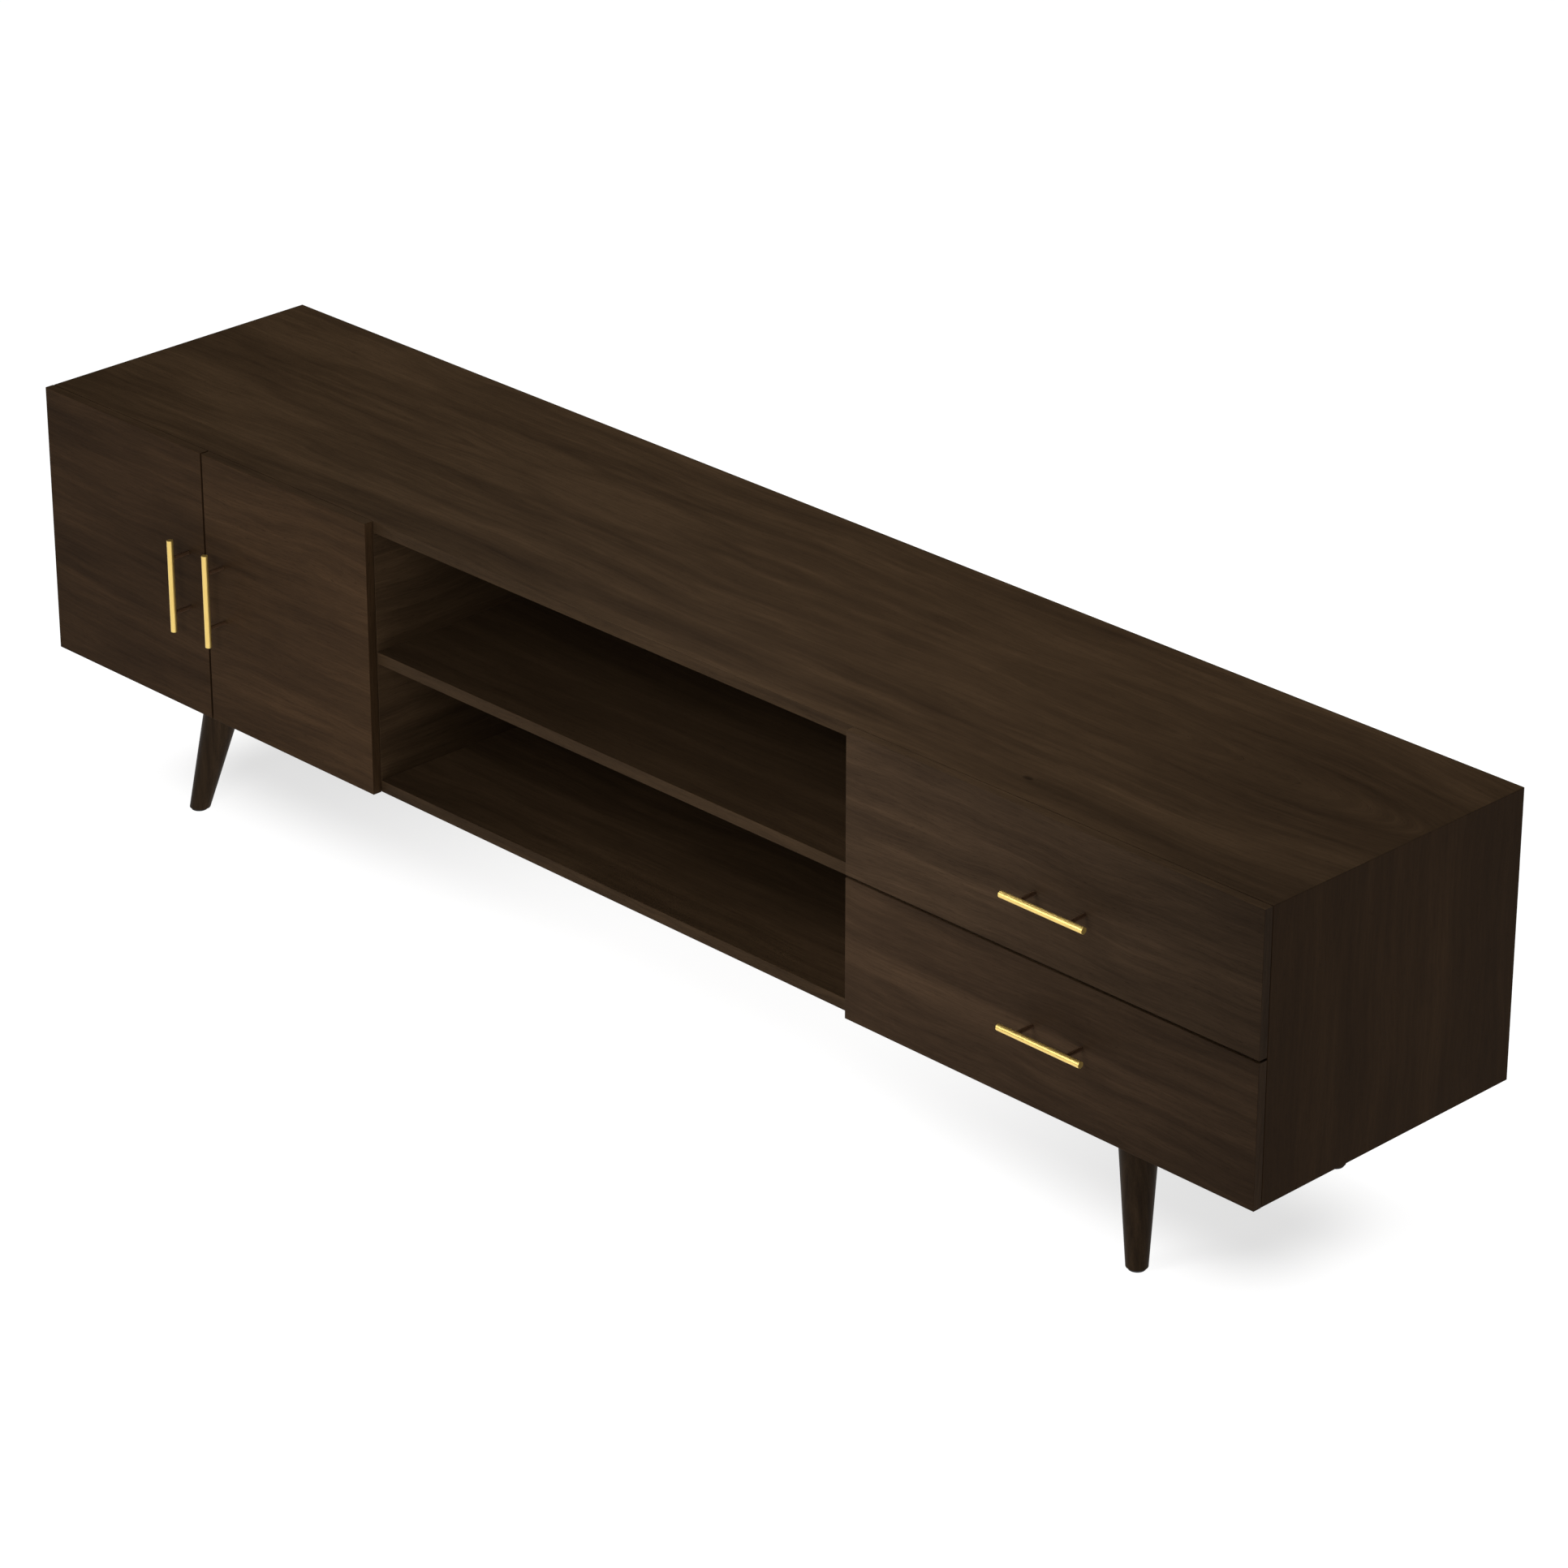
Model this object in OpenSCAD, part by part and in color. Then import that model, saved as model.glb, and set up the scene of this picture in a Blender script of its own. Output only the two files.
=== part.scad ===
// Long low media console: two hinged doors, an open shelved bay and two drawers on splayed legs.
// +Z is up and the fronts face -Y. The origin is on the floor, under the middle of the whole piece.
// Modules draw in the case's own coordinates: X from its left end, Y back from its front edge and
// Z up from its underside. placed() moves them onto the legs.

/* [Case] */
// Length of the case
case_w = 2000; // [1800:10:2200]
// Height of the case, without the legs
case_h = 350; // [340:5:400]
// Depth of the case, without doors and drawer fronts
case_d = 399; // [385:1:450]
// Thickness of the case boards and shelves
board = 15; // [15:0.5:18]
// Thickness of the back panels
back_t = 5; // [3:0.5:6]
// Width of the doors' section, from the left end
door_section_w = 604; // [560:1:700]
// Width of the drawers' section, from the right end
drawer_section_w = 600; // [560:1:700]

/* [Fronts] */
// Thickness of the doors and drawer fronts
front_t = 12; // [12:0.5:15]
// Gap between the case's edge and the back of a front
front_gap = 1; // [1:0.1:2]
// Gap between two neighbouring fronts
reveal = 3; // [2:0.5:4]

/* [Pulls] */
// Length of a pull's bar
pull_l = 120; // [100:5:160]
// Diameter of a pull's bar
pull_d = 8; // [8:0.5:10]
// Distance from a front's face to the middle of the bar
pull_reach = 27; // [22:1:32]
// Distance between a pull's two posts
post_spacing = 72; // [64:1:96]
// Diameter of a post
post_d = 5.2; // [5:0.1:6]
// Distance from the middle of the door gap to each door's pull
door_pull_inset = 33; // [25:1:45]
// How far the drawers' pulls stand right of the fronts' middle
drawer_pull_shift = 18; // [0:1:30]

/* [Legs] */
// Height of the legs, from floor to case
leg_h = 172; // [140:1:200]
// Diameter of a leg at the case
leg_top_d = 50; // [38:1:52]
// Diameter of a leg at the floor
leg_foot_d = 25; // [22:1:30]
// Splay of a leg, seen from the front and again from the side, in degrees
splay = 10; // [6:0.5:12]
// Distance from the case's end to the middle of a foot
foot_from_end = 203; // [150:1:260]
// Distance from the case's front or back edge to the middle of a foot
foot_from_edge = 37; // [35:1:50]

/* [Shelves] */
// Distance that the cupboard's shelf is set back from the case's front edge
shelf_setback = 30; // [25:1:60]
// Radius of the hole through a cable grommet
grommet_r = 25; // [20:1:30]

/* [Drawers] */
// Outer height of a drawer box
box_h = 110; // [90:1:120]
// Depth of a drawer box
box_d = 360; // [352:1:375]
// Thickness of a drawer box's sides and back
box_t = 12; // [12:0.5:14]
// Length of a drawer slide
slide_l = 350; // [300:50:350]

/* [Hidden] */
$fn = 48;
cut = 0.5; // how far a cutting shape runs past the face it cuts
fit = 0.05; // radial clearance of a pin, dowel or screw in its hole
hole_spare = 1; // how much deeper a blind hole is than what goes into it

front_face = -front_gap - front_t;
pull_y = front_face - pull_reach;
back_y = case_d - back_t;
whole_d = case_d - pull_y + pull_d / 2;
case_front_y = whole_d / 2 - case_d;
rabbet = board - 7; // board left behind the back panels' rabbet

left_divider_x = door_section_w - board;
right_divider_x = case_w - drawer_section_w;
shelf_z = (case_h - board) / 2;

door_w = (door_section_w - reveal) / 2;
door_gap_x = door_section_w / 2;
drawer_front_h = (case_h - reveal) / 2;
drawer_bay_w = drawer_section_w - 2 * board;
drawer_zs = [0, drawer_front_h + reveal]; // underside of the lower and upper front
box_above_front = [25, 19.5]; // underside of each drawer box over its front's own underside
pull_above_front = [97, 78.5]; // height of each pull over its front's underside

// Drawer slides: side-mounted, full extension, in three nested rails.
slide_gap = 12.7; // from the case's board to the drawer box
slide_y = 2;
rail_t = 1.2;
outer_rail_h = 45;
middle_rail_h = 36.4;
inner_rail_h = 26.8;
outer_rail_lip = 9.5; // from the case's board to the outer rail's lips
middle_rail_web = 4.6; // and to the middle rail's web
middle_rail_lip = 10.6; // and its lips
inner_rail_lip = 7.2; // and the inner rail's lips
box_w = drawer_bay_w - 2 * slide_gap;
rail_screw_ys = [35, 165, 295];
bottom_groove = 6; // how far a drawer's bottom runs into the box's sides
front_groove = 5; // and into the drawer's front
bottom_lift = 10;
bottom_t = 5;

// Hinges: in plan, X inwards from the door's hinge edge and Y back from the case's front edge.
hinge_zs = [70, case_h - 70];
cup_r = 13;
cup_depth = 9.5;
cup_x = 17;
cup_wall = 1;
cup_floor = 0.8;
cup_play = 0.1; // under the cup, in its hole
rim_w = 1.5;
flange_t = 0.6;
ear_z = 19;
ear_r = 5;
lug_low = [4, -11]; // the lugs that hold the door pivot's pin
lug_high = [10.2, -2];
lug_z = 5.5;
lug_t = 2.8;
cup_pin_z = 7; // how far that pin reaches above and below the hinge's middle
case_pivot = [board + 7, 2];
door_pivot = [8, -4];
link_bends = [[11.9, -8.26], [board + 5, -3.55]];
link_t = 2.4;
link_w = 7.8;
link_eye_r = 2;
pivot_r = 1.2;
cheek_z = 4.1;
cheek_t = 1.4;
cheek_r = 2.8;
cheek_play = 0.2;
arm_l = 58;
arm_web = [9.1, 10.4]; // the web's two faces, from the case's board
arm_web_y = 9;
plate_ys = [22, 52];
plate_z = 21;
plate_screw = [37, 16]; // from the case's front edge, and above and below the hinge's middle
plate_t = 1.6;
block_ys = [24, 60]; // the plate's block, that the arm sits on
block_x = 9;
arm_screw_y = 42;
arm_hole_x = 3; // where the arm screw's hole in the block begins
arm_hole_l = 8;

// Joints between boards
cam_r = 7.5;
cam_depth = 12;
cam_reach = 24;
cam_slot = [6, 1.2, 1.5]; // length, width and depth of the slots for a screwdriver
cam_hook = 2; // how far a cam's bore runs past its middle
bolt_r = 3;
bolt_bite = 8;
bolt_body = 16;
bolt_neck_r = 1.6;
bolt_head = [3.2, 3]; // radius and length
bolt_head_past = 1.8; // how far it goes past the cam's middle
bolt_hole_r = 3.5;
cam_ys = [70, 330];
dowel_ys = [112, 288];
dowel_r = 4;
dowel_l = 30;
dowel_bite = 10;

// Shelf pins
pin_r = 2.5;
pin_ys = [80, 340];
pin_in = 9;
pin_out = 8;
pin_collar = 1.5;
pin_pitch = 32;
shelf_play = 0.6; // at each end of the loose shelf
shelf_back_gap = 2;

// Legs' fixings
hanger_r = 4;
hanger_in_leg = 40;
nut_r = 5.5;
nut_l = 10;
nut_flange = [11, 1.5]; // radius and thickness
glide = [10, 3];
nail = [1.2, 14];
leg_pin_offset = 9.2; // from the hanger bolt, along X and along Y
leg_pin_l = 23;
leg_pin_in_leg = 12;
leg_run = leg_h * tan(splay);
leg_corners = [
    [foot_from_end, foot_from_edge, 1, 1],
    [case_w - foot_from_end, foot_from_edge, -1, 1],
    [foot_from_end, case_d - foot_from_edge, 1, -1],
    [case_w - foot_from_end, case_d - foot_from_edge, -1, -1]
];

// Cable holes: the grommet's wall, and how far its flange stands out and how thick it is
grommet_wall = 2;
grommet_flange = [4, 2.2];

// Pulls: the post's end that goes through the bar, and the screw's depth in the post
tenon_r = 1.5;
tenon_play = 0.5;
post_bore = 8.5;

// Screws: shank radius, length, head radius, head height
small_screw = [1.6, 12, 3.3, 1.8];
pull_screw = [1.5, front_t + 8, 3.2, 2];
cup_screw_size = [1.3, 8.5, 2.4, 0.55];
slide_screw = [1.6, 10, 3.3, 1.8];
arm_screw_size = [2, 6.5, 3.6, 1.6];
back_screw = [1.6, 16, 3.2, 1.9];
recess = [3.6, 0.8, 0.8]; // length, width and depth of each cut of a screw's cross recess
flush_recess_l = 3;

veneer = "#3a2b20";
front_veneer = "#3b2d24";
leg_wood = "#2c2019";
panel_back = "#241a14";
plywood = "#a9835a";
beech = "#c8a272";
brass = "#d8b45a";
dark_metal = "#2a211d";
steel = "#b9bcc0";
zinc = "#9da1a6";
black = "#1b1b1c";

// ---- Shapes that repeat ----

module placed() { translate([-case_w / 2, case_front_y, leg_h]) children(); }

module slab(low, high) { translate(low) cube(high - low); }

module rod_x(at, r, l) { translate(at) rotate([0, 90, 0]) cylinder(h = l, r = r); }

module rod_y(at, r, l) { translate(at) rotate([-90, 0, 0]) cylinder(h = l, r = r); }

module rod_z(at, r, l) { translate(at) cylinder(h = l, r = r); }

module cross_recess(length) {
    for (turn = [0, 90])
        rotate([0, 0, turn]) cube([length, recess[1], 2 * recess[2]], center = true);
}

// A pan-head screw that points along +Z, with its head's underside at the origin.
module screw(size) {
    difference() {
        union() {
            cylinder(h = size[1], r = size[0]);
            translate([0, 0, -size[3]]) cylinder(h = size[3], r = size[2]);
        }
        translate([0, 0, -size[3]]) cross_recess(recess[0]);
    }
}

module screw_hole(size) { cylinder(h = size[1] + hole_spare, r = size[0] + fit); }

module facing_x() { rotate([0, 90, 0]) children(); }

module facing_y() { rotate([-90, 0, 0]) children(); }

module on_left_jamb() { children(); }

module on_right_jamb() { translate([door_section_w, 0, 0]) mirror([1, 0, 0]) children(); }

// ---- Case ----

// One outer board as a bar with mitred ends, its length along X and its outer face at Z = 0.
module mitred_board(length) {
    difference() {
        rotate([90, 0, 0]) translate([0, 0, -case_d]) linear_extrude(case_d)
            polygon([[0, 0], [length, 0], [length - board, board], [board, board]]);
        slab([rabbet, back_y, rabbet], [length - rabbet, case_d + cut, board + cut]);
    }
}

// Where the back panels' screws go: along the top and bottom boards, and up the two sides.
back_screw_step = 60; // from a side or divider to the nearest screw
back_screw_rise = 90; // above and below the middle of a side
back_screw_inset = board - 3.5;
back_screw_xs = [
    back_screw_step, left_divider_x - back_screw_step, left_divider_x + board + back_screw_step,
    case_w / 2,
    right_divider_x - back_screw_step, right_divider_x + board + back_screw_step,
    case_w - back_screw_step
];
back_screw_zs = [case_h / 2 - back_screw_rise, case_h / 2 + back_screw_rise];

module back_screw_places() {
    for (x = back_screw_xs, z = [back_screw_inset, case_h - back_screw_inset])
        translate([x, case_d, z]) rotate([90, 0, 0]) children();
    for (x = [back_screw_inset, case_w - back_screw_inset], z = back_screw_zs)
        translate([x, case_d, z]) rotate([90, 0, 0]) children();
}

// A countersunk screw, flush with the back, that points along +Z from its head's top.
module flush_screw() {
    difference() {
        union() {
            cylinder(h = back_screw[3], r1 = back_screw[2], r2 = back_screw[0]);
            cylinder(h = back_screw[1], r = back_screw[0]);
        }
        cross_recess(flush_recess_l);
    }
}

module flush_hole() {
    flare = (back_screw[2] - back_screw[0]) / back_screw[3];
    translate([0, 0, -cut])
        cylinder(h = back_screw[3] + fit + cut, r1 = back_screw[2] + fit + cut * flare,
                 r2 = back_screw[0] + fit);
    cylinder(h = back_screw[1] + hole_spare, r = back_screw[0] + fit);
}

// Cam fittings: each place is the joint's own corner, with +Z out of the board that holds the cam
// and +X towards the face that the cam is let into.
module divider_cam_places() {
    for (y = cam_ys, top = [0, 1]) {
        translate([left_divider_x + board / 2, y, top ? case_h - board : board])
            mirror([1, 0, 0]) mirror([0, 0, top ? 0 : 1]) children();
        translate([right_divider_x + board / 2, y, top ? case_h - board : board])
            mirror([0, 0, top ? 0 : 1]) children();
    }
}

module shelf_cam_places() {
    for (y = cam_ys) {
        translate([door_section_w, y, shelf_z + board / 2]) rotate([0, -90, 0]) mirror([1, 0, 0])
            children();
        translate([right_divider_x, y, shelf_z + board / 2]) rotate([0, 90, 0]) children();
    }
}

module cam_places() {
    divider_cam_places() children();
    shelf_cam_places() children();
}

module cam_disc() {
    face = board / 2;
    difference() {
        translate([face - cam_depth, 0, -cam_reach]) facing_x() cylinder(h = cam_depth, r = cam_r - fit);
        translate([0, 0, -cam_reach - cam_hook])
            cylinder(h = cam_hook + cam_r + cut, r = bolt_hole_r);
        for (turn = [0, 90])
            translate([face, 0, -cam_reach]) rotate([turn, 0, 0])
                cube([2 * cam_slot[2], cam_slot[0], cam_slot[1]], center = true);
    }
}

module cam_bolt() {
    translate([0, 0, -bolt_body]) cylinder(h = bolt_body + bolt_bite, r = bolt_r);
    translate([0, 0, -cam_reach]) cylinder(h = cam_reach - bolt_body, r = bolt_neck_r);
    translate([0, 0, -cam_reach - bolt_head_past]) cylinder(h = bolt_head[1], r = bolt_head[0]);
}

module cam_holes() {
    face = board / 2;
    translate([face - cam_depth, 0, -cam_reach]) facing_x() cylinder(h = cam_depth + cut, r = cam_r);
    translate([0, 0, -cam_reach]) cylinder(h = cam_reach + cut, r = bolt_hole_r);
    cylinder(h = bolt_bite + fit, r = bolt_r + fit);
}

// Dowels: +Z goes into the outer board, -Z into the board that stands against it.
module dowel_places() {
    for (y = dowel_ys, x = [left_divider_x, right_divider_x], top = [0, 1])
        translate([x + board / 2, y, top ? case_h - board : board])
            mirror([0, 0, top ? 0 : 1]) children();
    for (y = dowel_ys) {
        translate([door_section_w, y, shelf_z + board / 2]) rotate([0, -90, 0]) children();
        translate([right_divider_x, y, shelf_z + board / 2]) rotate([0, 90, 0]) children();
    }
}

module dowel() { translate([0, 0, dowel_bite - dowel_l]) cylinder(h = dowel_l, r = dowel_r - fit); }

module dowel_hole() {
    translate([0, 0, dowel_bite - dowel_l - fit])
        cylinder(h = dowel_l + 2 * fit, r = dowel_r);
}

module joint_holes() {
    cam_places() cam_holes();
    dowel_places() dowel_hole();
}

// Legs: at each leg, the middle of its top, on the case's underside.
module leg_top_places() {
    for (c = leg_corners)
        translate([c[0] + c[2] * leg_run, c[1] + c[3] * leg_run, 0]) children();
}

module leg_pin_places() {
    for (c = leg_corners)
        translate([c[0] + c[2] * (leg_run - leg_pin_offset), c[1] + c[3] * (leg_run - leg_pin_offset), 0])
            children();
}

module leg_pin() { translate([0, 0, -leg_pin_in_leg]) cylinder(h = leg_pin_l, r = dowel_r - fit); }

module leg_pin_hole() {
    translate([0, 0, -leg_pin_in_leg - fit]) cylinder(h = leg_pin_l + 2 * fit, r = dowel_r);
}

module hanger_hole() {
    translate([0, 0, -hanger_in_leg - fit])
        cylinder(h = hanger_in_leg + board + hole_spare, r = hanger_r + fit);
}

module nut_hole() {
    translate([0, 0, board - nut_l]) cylinder(h = nut_l + cut, r = nut_r + fit);
    translate([0, 0, board - nut_flange[1]])
        cylinder(h = nut_flange[1] + cut, r = nut_flange[0] + fit);
}

// Holes that the fittings of the doors' and drawers' sections need in the boards beside them.
module plate_screw_places() {
    for (z = hinge_zs, side = [-1, 1])
        translate([board + plate_t, plate_screw[0], z + side * plate_screw[1]])
            rotate([0, -90, 0]) children();
}

module rail_screw_places() {
    for (z = drawer_zs, y = rail_screw_ys) {
        rail_z = z + box_above_front[z == 0 ? 0 : 1] + box_h / 2;
        translate([right_divider_x + board + rail_t, y, rail_z]) rotate([0, -90, 0]) children();
        translate([case_w - board - rail_t, y, rail_z]) facing_x() children();
    }
}

module board_screw_places() {
    on_left_jamb() plate_screw_places() children();
    on_right_jamb() plate_screw_places() children();
    rail_screw_places() children();
}

module pin_hole_row(x) {
    for (y = pin_ys, step = [-1, 0, 1])
        rod_x([x, y, shelf_z - pin_r + step * pin_pitch], pin_r, pin_in + cut);
}

module top_panel() {
    color(veneer) placed() difference() {
        translate([0, 0, case_h]) mirror([0, 0, 1]) mitred_board(case_w);
        joint_holes();
        back_screw_places() flush_hole();
    }
}

module bottom_panel() {
    color(veneer) placed() difference() {
        mitred_board(case_w);
        joint_holes();
        back_screw_places() flush_hole();
        leg_top_places() { hanger_hole(); nut_hole(); }
        leg_pin_places() leg_pin_hole();
    }
}

module left_side_panel() {
    color(veneer) placed() difference() {
        translate([0, 0, case_h]) rotate([0, 90, 0]) mitred_board(case_h);
        board_screw_places() screw_hole(small_screw);
        back_screw_places() flush_hole();
        pin_hole_row(board - pin_in);
    }
}

module right_side_panel() {
    color(veneer) placed() difference() {
        translate([case_w, 0, 0]) rotate([0, -90, 0]) mitred_board(case_h);
        board_screw_places() screw_hole(small_screw);
        back_screw_places() flush_hole();
    }
}

module divider(x) {
    slab([x, 0, board], [x + board, back_y, case_h - board]);
}

module left_divider() {
    color(veneer) placed() difference() {
        divider(left_divider_x);
        joint_holes();
        board_screw_places() screw_hole(small_screw);
        pin_hole_row(left_divider_x - cut);
    }
}

module right_divider() {
    color(veneer) placed() difference() {
        divider(right_divider_x);
        joint_holes();
        board_screw_places() screw_hole(small_screw);
    }
}

module centre_shelf() {
    color(veneer) placed() difference() {
        slab([door_section_w, 0, shelf_z], [right_divider_x, back_y, shelf_z + board]);
        joint_holes();
    }
}

module cupboard_shelf() {
    color(veneer) placed()
        slab([board + shelf_play, shelf_setback, shelf_z],
             [left_divider_x - shelf_play, back_y - shelf_back_gap, shelf_z + board]);
}

module shelf_pins() {
    color(steel) placed() for (y = pin_ys) {
        rod_x([board - pin_in, y, shelf_z - pin_r], pin_r - fit, pin_in + pin_out);
        rod_x([board, y, shelf_z - pin_r], pin_r, pin_collar);
        rod_x([left_divider_x - pin_out, y, shelf_z - pin_r], pin_r - fit, pin_in + pin_out);
        rod_x([left_divider_x - pin_collar, y, shelf_z - pin_r], pin_r, pin_collar);
    }
}

module back_panel(from_x, to_x) {
    slab([from_x, back_y, rabbet], [to_x, case_d, case_h - rabbet]);
}

module left_back_panel() {
    color(panel_back) placed() difference() {
        back_panel(rabbet, left_divider_x + board / 2);
        back_screw_places() flush_hole();
    }
}

bay_zs = [(board + shelf_z) / 2, (shelf_z + case_h) / 2];

module centre_back_panel() {
    color(panel_back) placed() difference() {
        back_panel(left_divider_x + board / 2, right_divider_x + board / 2);
        back_screw_places() flush_hole();
        for (z = bay_zs)
            rod_y([case_w / 2, back_y - cut, z], grommet_r + grommet_wall, back_t + 2 * cut);
    }
}

module right_back_panel() {
    color(panel_back) placed() difference() {
        back_panel(right_divider_x + board / 2, case_w - rabbet);
        back_screw_places() flush_hole();
    }
}

module cable_grommets() {
    outer_r = grommet_r + grommet_wall;
    flange = grommet_flange[1];
    color(black) placed() for (z = bay_zs) difference() {
        union() {
            rod_y([case_w / 2, back_y - flange, z], outer_r + grommet_flange[0], flange);
            rod_y([case_w / 2, back_y - cut, z], outer_r - fit, back_t + cut);
        }
        rod_y([case_w / 2, back_y - flange - cut, z], grommet_r, back_t + flange + 2 * cut);
    }
}

module dowels() {
    color(beech) placed() {
        dowel_places() dowel();
        leg_pin_places() leg_pin();
    }
}

module cam_discs() { color(zinc) placed() cam_places() cam_disc(); }

module cam_bolts() { color(steel) placed() cam_places() cam_bolt(); }

module case_screws() {
    color(steel) placed() {
        board_screw_places() screw(small_screw);
        back_screw_places() flush_screw();
        on_left_jamb() hinges() arm_screw();
        on_right_jamb() hinges() arm_screw();
    }
}

// A straight tapered leg that leans outwards, cut flat at the case and over its glide.
module leg(corner) {
    lean = atan(sqrt(2) * tan(splay));
    length = leg_h / cos(lean);
    taper = (leg_top_d - leg_foot_d) / 2 / length;
    spare = 15; // drawn past both ends, then cut level
    room = 2 * leg_h; // wider than the whole leg
    color(leg_wood) placed() difference() {
        intersection() {
            translate([corner[0], corner[1], -leg_h])
                rotate([0, lean, atan2(corner[3], corner[2])])
                translate([0, 0, -spare])
                cylinder(h = length + 2 * spare, r1 = leg_foot_d / 2 - taper * spare,
                         r2 = leg_top_d / 2 + taper * spare);
            translate([corner[0] - room / 2, corner[1] - room / 2, glide[1] - leg_h])
                cube([room, room, leg_h - glide[1]]);
        }
        leg_top_places() hanger_hole();
        leg_pin_places() leg_pin_hole();
        rod_z([corner[0], corner[1], -leg_h], nail[0] + fit, nail[1] + fit);
    }
}

module front_left_leg() { leg(leg_corners[0]); }

module front_right_leg() { leg(leg_corners[1]); }

module rear_left_leg() { leg(leg_corners[2]); }

module rear_right_leg() { leg(leg_corners[3]); }

module leg_bolts() {
    color(steel) placed() leg_top_places()
        translate([0, 0, -hanger_in_leg])
            cylinder(h = hanger_in_leg + board - hole_spare, r = hanger_r);
}

module leg_tee_nuts() {
    color(zinc) placed() leg_top_places() difference() {
        union() {
            translate([0, 0, board - nut_flange[1]]) cylinder(h = nut_flange[1], r = nut_flange[0]);
            translate([0, 0, board - nut_l]) cylinder(h = nut_l, r = nut_r);
        }
        cylinder(h = board + cut, r = hanger_r + fit);
    }
}

module foot_glides() {
    color(black) placed() for (c = leg_corners) {
        rod_z([c[0], c[1], -leg_h], glide[0], glide[1]);
        rod_z([c[0], c[1], -leg_h], nail[0], nail[1]);
    }
}

// ---- Concealed hinges ----

module hinges() { for (z = hinge_zs) translate([0, 0, z]) children(); }

module hinge_plate() {
    difference() {
        union() {
            slab([board, plate_ys[0], -plate_z], [board + plate_t, plate_ys[1], plate_z]);
            slab([board + plate_t, block_ys[0], cheek_play - cheek_z],
                 [board + block_x, block_ys[1], cheek_z - cheek_play]);
        }
        for (side = [-1, 1])
            rod_x([board - cut, plate_screw[0], side * plate_screw[1]], small_screw[0] + fit,
                  plate_t + 2 * cut);
        rod_x([board + arm_hole_x, arm_screw_y, 0], arm_screw_size[0] + fit, arm_hole_l);
    }
}

module hinge_plates() {
    color(zinc) placed() {
        on_left_jamb() hinges() hinge_plate();
        on_right_jamb() hinges() hinge_plate();
    }
}

module arm_cheek() {
    near = case_pivot[0] - cheek_r;
    translate(case_pivot) circle(r = cheek_r);
    translate([near, case_pivot[1]]) square([board + arm_web[1] - near, arm_l]);
}

// The arm: two cheeks that carry the case pivot, and a web over the plate's block.
module hinge_arm() {
    cheek = cheek_z + cheek_t;
    difference() {
        union() {
            translate([0, 0, -cheek]) linear_extrude(cheek_t) arm_cheek();
            translate([0, 0, cheek_z]) linear_extrude(cheek_t) arm_cheek();
            slab([board + arm_web[0], arm_web_y, -cheek],
                 [board + arm_web[1], case_pivot[1] + arm_l, cheek]);
        }
        rod_z([case_pivot[0], case_pivot[1], -cheek - cut], pivot_r + fit, 2 * cheek + 2 * cut);
        rod_x([board + block_x, arm_screw_y, 0], arm_screw_size[0] + fit, cheek_r);
    }
}

// The screw that holds the arm to the plate's block.
module arm_screw() {
    translate([board + arm_web[1], arm_screw_y, 0]) rotate([0, -90, 0]) screw(arm_screw_size);
}

module hinge_arms() {
    color(steel) placed() {
        on_left_jamb() hinges() hinge_arm();
        on_right_jamb() hinges() hinge_arm();
    }
}

module link_bar(a, b) {
    translate(a) rotate(atan2(b[1] - a[1], b[0] - a[0])) translate([0, -link_t / 2])
        square([norm(b - a), link_t]);
}

// The bent link between the two pivots. It curves into the cup so that it clears the door's edge.
module hinge_link() {
    path = concat([door_pivot], link_bends, [case_pivot]);
    difference() {
        translate([0, 0, -link_w / 2]) linear_extrude(link_w) {
            for (i = [0:2]) link_bar(path[i], path[i + 1]);
            for (end = [0, 3]) translate(path[end]) circle(r = link_eye_r);
            for (bend = [1, 2]) translate(path[bend]) circle(r = link_t / 2);
        }
        for (p = [case_pivot, door_pivot])
            rod_z([p[0], p[1], -link_w], pivot_r + fit, 2 * link_w);
    }
}

module hinge_pins() {
    for (p = [[case_pivot, cheek_z + cheek_t], [door_pivot, cup_pin_z]])
        rod_z([p[0][0], p[0][1], -p[1]], pivot_r, 2 * p[1]);
}

module left_hinge_links() { color(steel) placed() on_left_jamb() hinges() hinge_link(); }

module right_hinge_links() { color(steel) placed() on_right_jamb() hinges() hinge_link(); }

module left_hinge_pins() { color(zinc) placed() on_left_jamb() hinges() hinge_pins(); }

module right_hinge_pins() { color(zinc) placed() on_right_jamb() hinges() hinge_pins(); }

module ear_places() {
    for (side = [-1, 1])
        translate([cup_x, -front_gap, side * ear_z]) rotate([90, 0, 0]) children();
}

// The cup: a pocket let into the door, with screwed ears and two lugs for the door pivot's pin.
module hinge_cup() {
    difference() {
        union() {
            rod_y([cup_x, -front_gap - cup_depth, 0], cup_r - fit, cup_depth);
            rod_y([cup_x, -front_gap, 0], cup_r + rim_w, flange_t);
            for (side = [-1, 1]) rod_y([cup_x, -front_gap, side * ear_z], ear_r, flange_t);
            slab([cup_x - ear_r, -front_gap, -ear_z], [cup_x + ear_r, flange_t - front_gap, ear_z]);
        }
        difference() {
            rod_y([cup_x, cup_floor - front_gap - cup_depth, 0], cup_r - cup_wall, cup_depth + cut);
            for (z = [-lug_z, lug_z])
                slab([lug_low[0], lug_low[1], z - lug_t / 2], [lug_high[0], lug_high[1], z + lug_t / 2]);
        }
        rod_z([door_pivot[0], door_pivot[1], -cup_pin_z - fit], pivot_r + fit, 2 * (cup_pin_z + fit));
        for (side = [-1, 1])
            rod_y([cup_x, -front_gap - cut, side * ear_z], cup_screw_size[2] + fit, flange_t + 2 * cut);
    }
}

module cup_screw() { screw(cup_screw_size); }

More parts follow.
